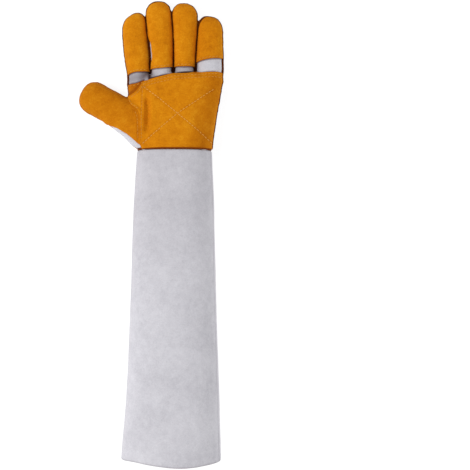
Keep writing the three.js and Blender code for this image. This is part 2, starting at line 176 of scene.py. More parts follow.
def noise(points, size, seed, height=1.0):
    """Smooth bumps, about size millimetres across and up to height high."""
    period = 32
    lattice = np.random.default_rng(seed).uniform(-1, 1, (period,) * 3)
    scaled = points / size
    low = np.floor(scaled).astype(int)
    t = eased(scaled - low)
    total = np.zeros(len(points))
    for corner in itertools.product((0, 1), repeat=3):
        weight = np.prod(np.where(np.array(corner) == 1, t, 1 - t), axis=1)
        i, j, k = ((low + corner) % period).T
        total += weight * lattice[i, j, k]
    return height * total


def rising(values, start=0.0, reach=1.0):
    """From 0 at the start to 1 at its reach."""
    return np.clip((values - start) / reach, 0, 1)


def eased(values, start=0.0, reach=1.0):
    """From 0 at the start to 1 at its reach, with a soft start and a soft end."""
    t = rising(values, start, reach)
    return t * t * (3 - 2 * t)


def bell(distance, width, height=1.0):
    return height * np.exp(-((distance / width) ** 2))


def rounding(depth, reach, fall=1.0):
    """How far a rounded edge has fallen, from its whole fall at the border to 0 at its reach."""
    return fall * (1 - np.sqrt(1 - np.clip(1 - depth / reach, 0, 1) ** 2))


def unit(vectors):
    return vectors / np.maximum(np.linalg.norm(vectors, axis=-1, keepdims=True), 1e-9)


def lengths_along(path):
    return np.concatenate([[0], np.cumsum(np.linalg.norm(np.diff(path, axis=0), axis=1))])


def read_path(path, places):
    """The points of a path at the given lengths along it."""
    lengths = lengths_along(path)
    return np.stack([np.interp(places, lengths, column) for column in path.T], axis=1)


def along(path, step):
    """Evenly spaced points along a path, about step apart."""
    path = np.asarray(path, float)
    total = lengths_along(path)[-1]
    return read_path(path, np.linspace(0, total, max(int(round(total / step)), 1) + 1))


def rounded(path, passes=3):
    """A path with its corners cut by Chaikin's rule, its ends kept."""
    path = np.asarray(path, float)
    for _ in range(passes):
        near = 0.75 * path[:-1] + 0.25 * path[1:]
        far = 0.25 * path[:-1] + 0.75 * path[1:]
        middle = np.stack([near, far], axis=1).reshape(-1, path.shape[1])
        path = np.concatenate([path[:1], middle[1:-1], path[-1:]])
    return path


def shifted(path, dx, dy):
    return np.asarray(path, float) + (dx, dy)


def nearest_on(path, points):
    """Distance from each point to a path, both seen from above."""
    path = np.asarray(path, float)
    best = np.full(len(points), np.inf)
    for start, end in zip(path[:-1], path[1:]):
        run = end - start
        t = np.clip((points[:, :2] - start) @ run / (run @ run), 0, 1)
        away = points[:, :2] - start - t[:, None] * run
        best = np.minimum(best, (away**2).sum(axis=1))
    return np.sqrt(best)


def nearest_of(paths, points):
    return np.minimum.reduce([nearest_on(path, points) for path in paths])


def inside_outline(outline, points):
    """Distance inside an outline seen from above, less than 0 outside it, that wavers as a cut edge does."""
    ring = np.concatenate([outline, outline[:1]])
    x, y = points[:, 0], points[:, 1]
    within = np.zeros(len(points), bool)
    for (x0, y0), (x1, y1) in zip(ring[:-1], ring[1:]):
        if y0 != y1:
            crosses = (y0 > y) != (y1 > y)
            within ^= crosses & (x < (x1 - x0) * (y - y0) / (y1 - y0) + x0)
    distance = nearest_on(ring, points)
    return np.where(within, distance, -distance) + noise(points * (1, 1, 0), 9, 21, height=0.25)


class PlanMap:
    """A quantity that depends only on a point's place seen from above, read from a grid of its values."""

    def __init__(self, quantity, low, high, step):
        axes = [np.arange(a, b, step) for a, b in zip(low, high)]
        grid = np.stack(np.meshgrid(*axes, indexing="ij"), axis=-1).reshape(-1, 2)
        self.low, self.step = np.array(low, float), step
        self.values = quantity(grid).reshape([len(axis) for axis in axes])

    def __call__(self, points):
        place = (points[:, :2] - self.low) / self.step
        corner = np.clip(place.astype(int), 0, np.array(self.values.shape) - 2)
        u, v = np.clip(place - corner, 0, 1).T
        i, j = corner.T
        lower = self.values[i, j] * (1 - u) + self.values[i + 1, j] * u
        upper = self.values[i, j + 1] * (1 - u) + self.values[i + 1, j + 1] * u
        return lower * (1 - v) + upper * v


# Rows of stitching on the patches, seen from above

PALM_TOP_ROW = rounded(np.concatenate([LAPPED_EDGE[-1:], PALM_TOP[:-1]]), 2)
ROWS = {
    "palm": [
        shifted(PALM_TOP_ROW, 0, -2.9),
        shifted(PALM_TOP_ROW, 0, -7.0),
        rounded(shifted(PALM_SIDE[5:], 2.0, 1.4), 2),
        rounded(shifted(LAPPED_EDGE, 1.4, -1.7), 2),
        np.array([(-10.2, 107), (-10.5, 150), (-9.6, 185)]),
    ],
    "palm_cross": [
        np.array([(-9.4, 109.8), (19.2, 134.6), (36.2, 149.3), (50.4, 159.2), (83.2, 182.4)]),
        np.array([(-8.6, 184.8), (12.2, 169.3), (36.2, 149.3), (61.3, 128.6), (80.7, 111.2)]),
    ],
    "thumb": [rounded(shifted(PALM_SIDE[2:6], -3.2, -1.5), 2)],
    "index_base": [shifted(INDEX_BASE_TOP, 0, -2.4)],
    **{name: [rounded(shifted(PATCH_ROOT[name], 0, 2.5), 1)] for name in FINGERS},
}


# The field of the hand

def read_rows(tube, s):
    """Half the width, the middle, the top and the seam's height of a tube at s, along smooth curves."""
    rows = np.array(tube["rows"], float)
    places, values = rows[:, 0], rows[:, 1:]
    slopes = np.gradient(values, places, axis=0)
    s = np.clip(s, places[0], places[-1])
    i = np.clip(np.searchsorted(places, s, side="right") - 1, 0, len(places) - 2)
    span = (places[i + 1] - places[i])[:, None]
    t = (s - places[i])[:, None] / span
    start = (1 + 2 * t) * (1 - t) ** 2 * values[i] + t * (1 - t) ** 2 * span * slopes[i]
    end = t**2 * (3 - 2 * t) * values[i + 1] + t**2 * (t - 1) * span * slopes[i + 1]
    left, right, top, seam = (start + end).T
    return (right + left) / 2, (right - left) / 2, top, seam


def to_local(tube, points):
    """Places along a tube and to its right."""
    heading = np.radians(tube["heading"])
    dx, dy = points[:, 0] - tube["base"][0], points[:, 1] - tube["base"][1]
    return dx * np.cos(heading) + dy * np.sin(heading), dx * np.sin(heading) - dy * np.cos(heading)


def share(tube, points):
    """1 on a tube's leather, less inside it, and more outside."""
    s, r = to_local(tube, points)
    half, middle, top, seam = read_rows(tube, s)
    rise = points[:, 2] - seam
    upper = rise > 0
    height = np.where(upper, rise / (top - seam), -rise / (seam + FLATTENED))
    power = np.where(upper, DOME, BELLY)
    section = (np.abs((r - middle) / (half - EDGE)) ** power + height**power) ** (1 / power)
    tip_start = tube["rows"][-1][0] + tube.get("slant", 0) * r
    beyond = np.maximum(s - tip_start, 0) / (tube["tip"] - EDGE)
    root_cap = 7.0
    before = 0 if tube is TUBES["palm"] else np.maximum(-s, 0) / root_cap
    return (section**TIP + beyond**TIP + before**TIP) ** (1 / TIP)


def tube_distance(tube, points):
    """Distance to a tube's leather, for the points that are near it."""
    reach, root, step, flattest = 12.0, 20.0, 0.2, 1 / 60
    s, r = to_local(tube, points)
    rows = np.array(tube["rows"])
    near = (s > -root) & (s < rows[-1, 0] + tube["tip"] + reach)
    near &= (r > -rows[:, 1].max() - reach) & (r < rows[:, 2].max() + reach)
    near &= points[:, 2] < rows[:, 3].max() + reach
    chosen = points[near]
    value = share(tube, chosen)
    slopes = [(share(tube, chosen + step * axis) - value) / step for axis in np.eye(3)]
    steepness = np.maximum(np.sqrt(sum(slope**2 for slope in slopes)), flattest)
    result = np.full(len(points), FAR_AWAY)
    result[near] = np.clip((value - 1) / steepness, -FAR_AWAY, FAR_AWAY)
    return result


def smooth_min(a, b, reach):
    overlap = np.maximum(reach - np.abs(a - b), 0) / reach
    return np.minimum(a, b) - overlap**2 * reach / 4


BLEND = {"index": 3.5, "middle": 3.5, "ring": 3.5, "little": 4.5, "thumb": 9.0}
GROUND_BLEND = 1.2


def plain_distance(points):
    """Distance to the hand's leather before any fold or pucker is added."""
    palm = tube_distance(TUBES["palm"], points)
    result = palm
    for name, reach in BLEND.items():
        result = np.minimum(result, smooth_min(palm, tube_distance(TUBES[name], points), reach))
    return -smooth_min(-result, points[:, 2], GROUND_BLEND)


# Folds and hollows of the palm side: the path of each, its width, how deep it is (proud, if less than 0),
# and how far it fades out at its ends
FOLDS = [
    ([(-4.4, 182), (-2.8, 160), (-2.6, 140), (-3.6, 116)], 3.3, 4.4, 22),
    ([(-8.2, 178), (-7.8, 150), (-8.4, 118)], 2.8, -1.6, 22),
    ([(4, 176), (3.6, 150), (2, 122)], 4.5, -1.0, 22),
    ([(-34, 180), (-22, 184), (-12, 189)], 3.6, 1.5, 6),
    ([(-29, 165), (-19, 172), (-4, 186)], 6.0, -1.2, 8),
    ([(-17, 124), (-19, 140), (-27, 154)], 6.0, 0.8, 14),
    ([(-32, 150), (-50, 152), (-66, 161)], 8.0, 0.5, 18),
    ([(12, 112), (40, 118), (66, 113)], 9.0, 0.8, 20),
    ([(58, 176), (66, 152), (62, 124)], 9.0, 1.1, 20),
]
# The channels that the stitching pulls into the leather: their width, their depth, and the painted shade in
# them
CHANNEL = {"width": 1.0, "depth": 0.35, "shade": 0.1}
TUCKED_OUT = 3.0  # how far the back's leather bulges where it wraps round under the thumb
SOFT_BUMPS = ((26, 1, 0.5), (11, 2, 0.2), (4.5, 3, 0.07))  # their size, seed and height
PRESSED = 0.45  # how far the fingers' sides swell where they lie against each other
GATHERED = (0.9, 0.9, 1.5)  # how much more they do at each crotch


def channels(points):
    """1 along the rows of stitching, where the thread pulls the leather down, to 0 away from them."""
    return bell(nearest_of([path for paths in ROWS.values() for path in paths], points), CHANNEL["width"])


def folded(points):
    total = -CHANNEL["depth"] * CHANNEL_MAP(points)
    for corners, width, depth, fade in FOLDS:
        path = rounded(corners)
        ends = [np.linalg.norm(points - end, axis=1) for end in (path[0], path[-1])]
        total -= bell(nearest_on(path, points), width, depth) * eased(np.minimum(*ends), reach=fade)
    return total


def tucked(points):
    """1 where the back's leather wraps round under the thumb, to 0 away from there."""
    from_thumb = np.linalg.norm(points[:, :2] - THUMB_UNDERSIDE[0], axis=1)
    return bell(nearest_on(THUMB_UNDERSIDE, points), width=7) * eased(from_thumb, reach=15)


def swollen(points):
    bulge = TUCKED_OUT * tucked(points) * eased(points[:, 1], start=WRIST_Y, reach=7)
    for path, more in zip(CONTACTS, GATHERED):
        bulge += bell(np.linalg.norm(points - path[0], axis=1), width=6, height=more)
    return bulge + bell(nearest_of(CONTACTS, points), width=5, height=PRESSED)


HAND_LOW, HAND_HIGH = (-100, WRIST_Y - 4), (100, 304)
HAND_BOTTOM, HAND_TOP = -3, 46
CHANNEL_MAP = PlanMap(channels, HAND_LOW, HAND_HIGH, MAP_STEP)
FOLD_MAP = PlanMap(folded, HAND_LOW, HAND_HIGH, MAP_STEP)
SWELL_MAP = PlanMap(swollen, HAND_LOW, HAND_HIGH, 2 * MAP_STEP)


def relief(points):
    """How far the leather stands proud of its plain form."""
    z = points[:, 2]
    lifted = rising(z, start=1.5, reach=4)
    upper = rising(z, start=HAND_SEAM + 3, reach=5)
    soft = sum(noise(points, size, seed, height) for size, seed, height in SOFT_BUMPS)
    gathered = noise(points * (1, 1, 0.35), 3.4, 4, height=0.28) * bell(z - HAND_SEAM, width=5.5)
    return (soft + gathered + SWELL_MAP(points)) * lifted + FOLD_MAP(points) * upper


def hand_distance(points):
    return plain_distance(points) - relief(points)


def gradient(field, points, step=0.25):
    slopes = [(field(points + step * axis) - field(points - step * axis)) / (2 * step) for axis in np.eye(3)]
    return np.stack(slopes, axis=1)


# Meshes as arrays: points and triangles

OTHER_AXES = ([1, 2], [0, 2], [0, 1])


def edge_crossings(grid, values, axis, cell):
    """Which edges of the grid along one axis cross level 0, where they do, and which start inside it."""
    lower, upper = [slice(None)] * 3, [slice(None)] * 3
    lower[axis], upper[axis] = slice(0, -1), slice(1, None)
    a, b = values[tuple(lower)], values[tuple(upper)]
    crossing = (a < 0) != (b < 0)
    place = grid[tuple(lower)].copy()
    place[..., axis] += np.where(crossing, a / np.where(crossing, a - b, 1), 0) * cell
    return crossing, place, a < 0


def cell_points(crossings, cells):
    """The middle of the crossings round each cell that has any, and such a cell's number."""
    total, count = np.zeros(cells + (3,)), np.zeros(cells)
    for others, (crossing, place, _) in zip(OTHER_AXES, crossings):
        for shift in itertools.product((0, 1), repeat=2):
            part = [slice(None)] * 3
            for other, offset in zip(others, shift):
                part[other] = slice(offset, cells[other] + offset)
            part = tuple(part)
            total += np.where(crossing[part][..., None], place[part], 0)
            count += crossing[part]
    used = count > 0
    number = np.full(cells, -1)
    number[used] = np.arange(used.sum())
    return total[used] / count[used][:, None], number


def quads_round(crossing, ahead, axis, number):
    """The four cells round each edge that crosses level 0, in the order that faces out."""
    others = OTHER_AXES[axis]
    where, ahead = np.argwhere(crossing), ahead[crossing]
    fits = np.all([(where[:, i] > 0) & (where[:, i] < number.shape[i]) for i in others], axis=0)
    where, ahead = where[fits], ahead[fits]
    corners = []
    for shift in ((1, 1), (0, 1), (0, 0), (1, 0)):
        corner = where.copy()
        corner[:, others] -= shift
        corners.append(number[tuple(corner.T)])
    corners = np.stack(corners, axis=1)
    flip = ahead if axis == 1 else ~ahead
    corners[flip] = corners[flip][:, ::-1]
    return corners


def surface_nets(low, high, cell):
    """The level 0 surface of the hand's plain field as points and triangles."""
    axes = [np.arange(a, b + cell, cell) for a, b in zip(low, high)]
    grid = np.stack(np.meshgrid(*axes, indexing="ij"), axis=-1)
    values = plain_distance(grid.reshape(-1, 3)).reshape(grid.shape[:3])
    crossings = [edge_crossings(grid, values, axis, cell) for axis in range(3)]
    points, number = cell_points(crossings, tuple(n - 1 for n in values.shape))
    quads = [quads_round(*crossings[axis][::2], axis, number) for axis in range(3)]
    return points, halved(np.concatenate(quads), points)


def halved(quads, points):
    """Two triangles for each quad, cut along its shorter diagonal."""
    first = np.linalg.norm(points[quads[:, 0]] - points[quads[:, 2]], axis=1)
    second = np.linalg.norm(points[quads[:, 1]] - points[quads[:, 3]], axis=1)
    turned = np.where((first <= second)[:, None], quads, np.roll(quads, -1, axis=1))
    return np.concatenate([turned[:, [0, 1, 2]], turned[:, [0, 2, 3]]])


def directed_edges(triangles):
    return triangles[:, [0, 1, 1, 2, 2, 0]].reshape(-1, 2)


def pairs_of(triangles):
    return np.unique(np.sort(directed_edges(triangles), axis=1), axis=0)


def relaxed(points, triangles, passes):
    """Points moved to the middle of their neighbours and back to level 0."""
    pairs = pairs_of(triangles)
    flattest = 0.2
    for _ in range(passes):
        total = np.zeros_like(points)
        count = np.zeros(len(points))
        for a, b in (pairs.T, pairs.T[::-1]):
            np.add.at(total, a, points[b])
            np.add.at(count, a, 1)
        middle = total / np.maximum(count, 1)[:, None]
        moved = 0.5 * (points + middle)
        slope = gradient(hand_distance, moved)
        steepness = np.maximum((slope**2).sum(axis=1), flattest)
        points = moved - slope * (hand_distance(moved) / steepness)[:, None]
    return points


def cut_edges(points, pairs, values):
    """The ends of each edge on which the values pass 0, how far along it they do, and where."""
    a, b = pairs.T
    crossing = values[a] * values[b] < 0
    a, b = a[crossing], b[crossing]
    t = values[a] / (values[a] - values[b])
    return a, b, t, points[a] + t[:, None] * (points[b] - points[a])


def cut_triangles(triangles, cuts):
    """Triangles cut in two or three. Cuts holds the point where each side is cut, or -1."""
    number = (cuts >= 0).sum(axis=1)
    parts = [triangles[number == 0].T]
    for i in range(3):
        one = (number == 1) & (cuts[:, i] >= 0)
        a, b, c = np.roll(triangles[one], -i, axis=1).T
        m = cuts[one, i]
        parts += [(a, m, c), (m, b, c)]
        two = (number == 2) & (cuts[:, i] < 0)
        a, b, c = np.roll(triangles[two], -i, axis=1).T
        m, n = cuts[two, (i + 1) % 3], cuts[two, i - 1]
        parts += [(n, m, c), (a, b, m), (a, m, n)]
    return np.concatenate([np.stack(corners, axis=1) for corners in parts])


def snap(points, pairs, values, fixed):
    """Moves each free point near the line where the values are 0 onto it."""
    a, b, t, place = cut_edges(points, pairs, values)
    corner = np.concatenate([a, b])
    share_of_edge = np.concatenate([t, 1 - t])
    target = np.concatenate([place, place])
    close = (share_of_edge < SNAP) & ~fixed[corner]
    order = np.argsort(-share_of_edge[close])
    points[corner[close][order]] = target[close][order]
    values[corner[close]] = 0


def split(points, triangles, values, fixed):
    """Cuts triangles along the line where the values are 0, after the free points near it snap to it."""
    points, values, fixed = points.copy(), values.copy(), fixed.copy()
    pairs = pairs_of(triangles)
    snap(points, pairs, values, fixed)
    a, b, _, fresh = cut_edges(points, pairs, values)
    size = len(points)
    keys = a * size + b
    order = np.argsort(keys)
    points = np.concatenate([points, fresh])
    values = np.concatenate([values, np.zeros(len(fresh))])
    fixed = np.concatenate([fixed, np.ones(len(fresh), bool)]) | (values == 0)
    if not len(fresh):
        return points, triangles, values, fixed
    ends = np.stack([triangles, np.roll(triangles, -1, axis=1)])
    wanted = ends.min(axis=0) * size + ends.max(axis=0)
    at = np.clip(np.searchsorted(keys[order], wanted), 0, len(keys) - 1)
    cuts = np.where(keys[order][at] == wanted, size + order[at], -1)
    return points, cut_triangles(triangles, cuts), values, fixed


def compact(points, triangles, *arrays):
    used, index = np.unique(triangles, return_inverse=True)
    return (points[used], index.reshape(triangles.shape)) + tuple(array[used] for array in arrays)


def clipped(points, triangles, region, rings):
    """The part of a mesh where region(points) > 0, with extra rows of points at the given depths inside."""
    margin = 6
    fixed = np.zeros(len(points), bool)
    values = region(points)
    near = (values[triangles] > -margin).all(axis=1)
    points, triangles, values, fixed = compact(points, triangles[near], values, fixed)
    points, triangles, values, fixed = split(points, triangles, values, fixed)
    kept = values[triangles].sum(axis=1) > 0
    border = values == 0
    points, triangles, fixed, border = compact(points, triangles[kept], fixed, border)
    for depth in rings:
        values = np.where(border, 0, region(points)) - depth
        added = len(points)
        points, triangles, _, fixed = split(points, triangles, values, fixed)
        border = np.concatenate([border, np.zeros(len(points) - added, bool)])
    depths = np.where(border, 0, np.maximum(region(points), 0))
    return points, triangles, depths


def to_level(points, directions, level):
    """Points on level 0 moved out to other levels of the field."""
    most = 0.5
    moved = points + directions * level[:, None]
    return moved - directions * np.clip(hand_distance(moved) - level, -most, most)[:, None]


def closed_sheet(outer, inner, triangles):
    """One closed body between two sheets of points that share their triangles."""
    directed = directed_edges(triangles)
    size = len(outer)
    forward = directed[:, 0] * size + directed[:, 1]
    backward = directed[:, 1] * size + directed[:, 0]
    a, b = directed[~np.isin(forward, backward)].T
    wall = np.concatenate([np.stack([b, a, a + size], 1), np.stack([b, a + size, b + size], 1)])
    return np.concatenate([outer, inner]), np.concatenate([triangles, triangles[:, ::-1] + size, wall])


def cord(path, across, wide, tall, sides, loop=False):
    """A closed body round a path, so wide and tall from its middle. A loop joins its end to its start."""
    if loop:
        ahead = unit(np.roll(path, -1, axis=0) - np.roll(path, 1, axis=0))
    else:
        ahead = unit(np.gradient(path, axis=0))
    turn = np.arange(sides) / sides * 2 * np.pi
    up = np.cross(ahead, across)
    ring = (across * wide[:, None])[:, None] * np.cos(turn)[:, None]
    ring = ring + (up * tall[:, None])[:, None] * np.sin(turn)[:, None]
    points = (path[:, None] + ring).reshape(-1, 3)
    number = np.arange(len(points)).reshape(-1, sides)
    if loop:
        number = np.concatenate([number, number[:1]])
    beside = np.roll(number, -1, axis=1)
    quads = np.stack([number[:-1], beside[:-1], beside[1:], number[1:]], axis=-1).reshape(-1, 4)
    triangles = np.concatenate([quads[:, [0, 1, 2]], quads[:, [0, 2, 3]]])
    if loop:
        return points, triangles
    first = np.full(sides, len(points))
    start = np.stack([first, beside[0], number[0]], axis=1)
    end = np.stack([first + 1, number[-1], beside[-1]], axis=1)
    return np.concatenate([points, path[[0, -1]]]), np.concatenate([triangles, start, end])


def joined(parts):
    """Several meshes as one, from (points, triangles) pairs."""
    sizes = np.cumsum([0] + [len(points) for points, _ in parts[:-1]])
    points = np.concatenate([points for points, _ in parts])
    return points, np.concatenate([triangles + size for (_, triangles), size in zip(parts, sizes)])


# Materials

class Shader:
    """A material's nodes, built one call at a time."""

    def __init__(self, name):
        self.material = bpy.data.materials.new(name)
        self.material.use_nodes = True
        self.tree = self.material.node_tree
        self.surface = self.tree.nodes["Principled BSDF"]
        self.where = self.add("TexCoord").outputs["Object"]

    def add(self, kind, **values):
        node = self.tree.nodes.new("ShaderNode" + kind)
        for key, value in values.items():
            setattr(node, key, value)
        return node

    def feed(self, socket, source):
        if isinstance(source, bpy.types.NodeSocket):
            self.tree.links.new(source, socket)
        else:
            socket.default_value = source

    def feed_all(self, node, **sources):
        for name, source in sources.items():
            self.feed(node.inputs[name.replace("_", " ")], source)

    def noise(self, size, detail=2.0, roughness=0.5):
        """Noise from 0 to 1 with grains of that size in metres."""
        node = self.add("TexNoise")
        self.feed_all(node, Vector=self.where, Scale=1 / size, Detail=detail, Roughness=roughness)
        return node.outputs["Fac"]

    def weighted(self, *pairs):
        """0.5 plus each source's swing about 0.5, times its weight."""
        total = 0.5 * (1 - sum(weight for _, weight in pairs))
        for source, weight in pairs:
            node = self.add("Math", operation="MULTIPLY_ADD")
            for socket, value in zip(node.inputs, (source, weight, total)):
                self.feed(socket, value)
            total = node.outputs[0]
        return total

    def ramp(self, source, *stops):
        node = self.add("ValToRGB")
        elements = node.color_ramp.elements
        while len(elements) < len(stops):
            elements.new(0.5)
        for element, (position, colour) in zip(elements, stops):
            element.position = position
            element.color = (*colour, 1)
        self.feed_all(node, Fac=source)
        return node.outputs["Color"]

    def painted_shade(self, colour, half, light):
        """The colour, tinted half and light way down to a dark maroon where the points' painted shade is
        low.
        """
        shade = self.add("Attribute", attribute_name="shade").outputs["Fac"]
        stops = (0.0, (0.040, 0.010, 0.008)), (0.5, half), (0.8, light), (1.0, (1.0, 1.0, 1.0))
        node = self.add("VectorMath", operation="MULTIPLY")
        self.feed(node.inputs[0], colour)
        self.feed(node.inputs[1], self.ramp(shade, *stops))
        return node.outputs[0]

    def bump(self, height, distance):
        node = self.add("Bump")
        self.feed_all(node, Distance=distance, Height=height)
        self.feed_all(self.surface, Normal=node.outputs["Normal"])

    def finish(self, colour, roughness, **surface):
        self.feed_all(self.surface, Base_Color=colour, Roughness=roughness, **surface)
        return self.material


def suede(name, stops, tints, sheen, sheen_tint):
    """Split leather: cloudy colour, brushed patches of nap, and short fibres."""
    shader = Shader(name)
    clouds = shader.noise(size=0.045)
    patches = shader.noise(size=0.008, detail=3, roughness=0.6)
    nap = shader.noise(size=0.0021, detail=3, roughness=0.65)
    fibres = shader.noise(size=0.0006, roughness=0.6)
    tone = shader.weighted((clouds, 0.55), (patches, 0.6), (nap, 0.6), (fibres, 0.7))
    colour = shader.painted_shade(shader.ramp(tone, *stops), *tints)
    shader.bump(shader.weighted((patches, 0.4), (nap, 0.8), (fibres, 0.8)), 0.0003)
    return shader.finish(
        colour, 0.95, Specular_IOR_Level=0.06, Sheen_Weight=sheen, Sheen_Roughness=0.5, Sheen_Tint=sheen_tint
    )


def gold_suede():
    stops = (
        (0.20, (0.48, 0.145, 0.002)), (0.42, (0.61, 0.200, 0.003)),
        (0.58, (0.67, 0.235, 0.004)), (0.80, (0.77, 0.320, 0.012)),
    )
    tints = ((0.38, 0.22, 0.15), (0.72, 0.62, 0.50))
    return suede("gold_suede", stops, tints, 0.03, (1.0, 0.7, 0.2, 1))


def grey_suede():
    stops = ((0.2, (0.49, 0.48, 0.52)), (0.5, (0.58, 0.57, 0.61)), (0.8, (0.66, 0.65, 0.69)))
    tints = ((0.26, 0.20, 0.20), (0.68, 0.66, 0.67))
    return suede("grey_suede", stops, tints, 0.08, (1.0, 1.0, 1.0, 1))


def welt_leather():
    shader = Shader("welt_leather")
    grain = shader.noise(size=0.0015, detail=3, roughness=0.6)
    shader.bump(grain, 0.0002)
    colour = shader.ramp(grain, (0.3, (0.42, 0.135, 0.012)), (0.7, (0.58, 0.200, 0.018)))
    colour = shader.painted_shade(colour, (0.40, 0.27, 0.40), (0.8, 0.75, 0.8))
    return shader.finish(colour, 0.9, Specular_IOR_Level=0.1)


def thread(name, dark, light):
    shader = Shader(name)
    twist = shader.noise(size=0.0006)
    shader.bump(twist, 0.0001)
    return shader.finish(shader.ramp(twist, (0.3, dark), (0.7, light)), 0.85, Specular_IOR_Level=0.15)


GOLD = gold_suede()
GREY = grey_suede()
BROWN = welt_leather()
CREAM = thread("cream_thread", (0.74, 0.36, 0.065), (0.92, 0.54, 0.14))
AMBER = thread("amber_thread", (0.64, 0.27, 0.03), (0.78, 0.39, 0.07))
CREASE = np.radians(55)


def add_object(name, data):
    item = bpy.data.objects.new(name, data)
    bpy.context.scene.collection.objects.link(item)
    return item


def add_piece(name, points, faces, material, node=None, shade=None):
    """A piece that rides on the glove with one material, and stands for a CAD node if one is named.

    Its points' shade is 1, or less where shade is painted on the leather."""
    mesh = bpy.data.meshes.new(name)
    mesh.from_pydata(points * MM, [], faces)
    mesh.validate()
    mesh.shade_smooth()
    mesh.set_sharp_from_angle(angle=CREASE)
    values = np.ones(len(points)) if shade is None else shade
    mesh.attributes.new("shade", "FLOAT", "POINT").data.foreach_set("value", values)
    mesh.materials.append(material)
    piece = add_object(name, mesh)
    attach(piece, "root")
    if node:
        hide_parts(node)


# The hand's pieces

PATCH_BOTTOM = HAND_SEAM + WELT_RADIUS + GAP
WRIST_LAP = 0.4  # how far past the wrist's line the patches end, on top of its welt
WRIST_RISE = 0.9  # how high they are lifted there
LAP = {"rise": 1.7, "flat": 1.6, "reach": 5.0, "over": 1.2}
LAPPED_SIDE = rounded(np.concatenate([PALM_SIDE, LAPPED_EDGE[1:]]), 2)
SHELL = {"levels": (0, -WALL), "rings": (0.5, 1.3, 2.6), "fall": 0.7, "reach": 2.6}
SUEDE = {"levels": (GAP + PATCH, GAP), "rings": (0.3, 0.8, 1.5), "fall": 0.7, "reach": 1.1}
# How much darker each patch is: the thumb's and the little finger's a tone of their leather, the index
# base's painted shade where it lies below the palm patch's lapped edge
PATCH_TONES_AND_SHADE = {"index_base_patch": 0.86, "thumb_patch": 0.89, "little_patch": 0.98}
INNER_SHADE = 0.85

# Painted shade on the grey leather along its seams, in the crotches, under the patches' edges and on the
# bands at the fingers' roots: the path of each darkened band, its width, and how dark it is
SHELL_PAINTED_SHADE = [
    (shifted([(-1, 194.4)] + PALM_TOP[1:5], 0, 1.0), 1.4, 0.97),
    (shifted(PALM_TOP[4:7], 0, 0.3), 0.8, 0.3),
    ([(-33, 195), (-18, 197), (-3, 201)], 9.0, 0.3),
    ([(31, 208.6), (57, 209.4)], 5.0, 0.22),
    ([(2, 204), (27, 207)], 5.0, 0.06),
    ([(-0.8, 198), (-0.9, 206), (-2.0, 218)], 1.9, 0.95),
    ([(29.6, 203.5), (29.6, 209), (29.5, 222)], 1.9, 0.95),
    ([(58, 205), (58.2, 210), (59, 222)], 1.9, 0.95),
    ([(-10, 195.5), (-6, 203)], 5.0, 0.22),
    (shifted(INDEX_BASE_TOP, 0, 0.4), 0.8, 0.45),
    *((shifted(PATCH_ROOT[name], 0, -0.5), 0.8, 0.5) for name in FINGERS),
]
# Darker bands on the golden patches, each with its path, width and how dark it is: painted shadow above the
# lapped edge on the index base, painted shade where the fingers lie against each other, and a broad
# darkening down the palm's right side
PATCH_PAINTED_SHADE = [
    (shifted(LAPPED_EDGE, -2.4, 2.0), 3.0, 0.30),
    *((path, 1.8, 0.4) for path in CONTACTS),
    ([(82, 192), (73, 150), (67, 108)], 14.0, 0.15),
]


def off_wrist(margin):
    return lambda points: points[:, 1] - WRIST_Y - margin


def off_welt(bare):
    """Above the welt, and higher still where a pale rim shows."""

    def region(points):
        x, y, z = points.T
        return z - sum((bell(np.hypot(x - a, y - b), run, rise) for a, b, run, rise in bare), PATCH_BOTTOM)

    return region


def inside(outline):
    return lambda points: inside_outline(outline, points)


def everywhere(*regions):
    return lambda points: np.minimum.reduce([region(points) for region in regions])


def finger_outline(name, root):
    """A finger from a line across its root, right to left, out past its tip."""
    sides = [-130, *(BETWEEN[between][1] for between in FINGERS[:-1]), 130]
    left, right = sides[FINGERS.index(name):][:2]
    return np.concatenate([rounded(root, 2), [(left, FAR), (right, FAR)]])


def wrist_rise(points):
    """How far a patch is lifted at the wrist, where it lies on the welt."""
    return WRIST_RISE * (1 - eased(points[:, 1], start=WRIST_Y + WRIST_LAP, reach=4))


def lap_rise(points):
    """How far the palm patch is lifted, along its side too, where it lies on the patches beside it."""
    depth = nearest_on(LAPPED_SIDE, points)
    return wrist_rise(points) + LAP["rise"] * (1 - eased(depth, LAP["flat"], LAP["reach"]))


def sheet_piece(name, hand, kind, region, material, node, shade_of, rise=None):
    """A sheet of leather between two levels of the field, over the part of the hand where region > 0."""
    points, triangles, depths = clipped(*hand, region, kind["rings"])
    directions = unit(gradient(plain_distance, points))
    raised = np.zeros(len(points)) if rise is None else rise(points)
    outer_level, inner_level = kind["levels"]
    fall = rounding(depths, kind["reach"], kind["fall"])
    outer = to_level(points, directions, outer_level + raised - fall)
    inner = to_level(points, directions, inner_level + raised)
    shade = np.concatenate([shade_of(points, depths), np.full(len(points), INNER_SHADE)])
    add_piece(name, *closed_sheet(outer, inner, triangles), material, node, shade)


def painted_shade(points, shade_paths):
    """How light the leather is left by painted shade along paths."""
    upper = eased(points[:, 2], start=5, reach=4)
    light = np.ones(len(points))
    for path, width, depth in shade_paths:
        light *= 1 - upper * bell(nearest_on(path, points), width, depth)
    return light


def shell_shade(points, depths):
    return (1 - bell(depths, width=0.5, height=0.3)) * painted_shade(points, SHELL_PAINTED_SHADE)


def patch_shade(points, depths):
    # Darker at the cut border, painted shade in the stitching's channels and along the darker bands listed
    # above
    sewn = CHANNEL["shade"] * CHANNEL_MAP(points)
    return (1 - bell(depths, width=0.5, height=0.34)) * (1 - sewn) * painted_shade(points, PATCH_PAINTED_SHADE)


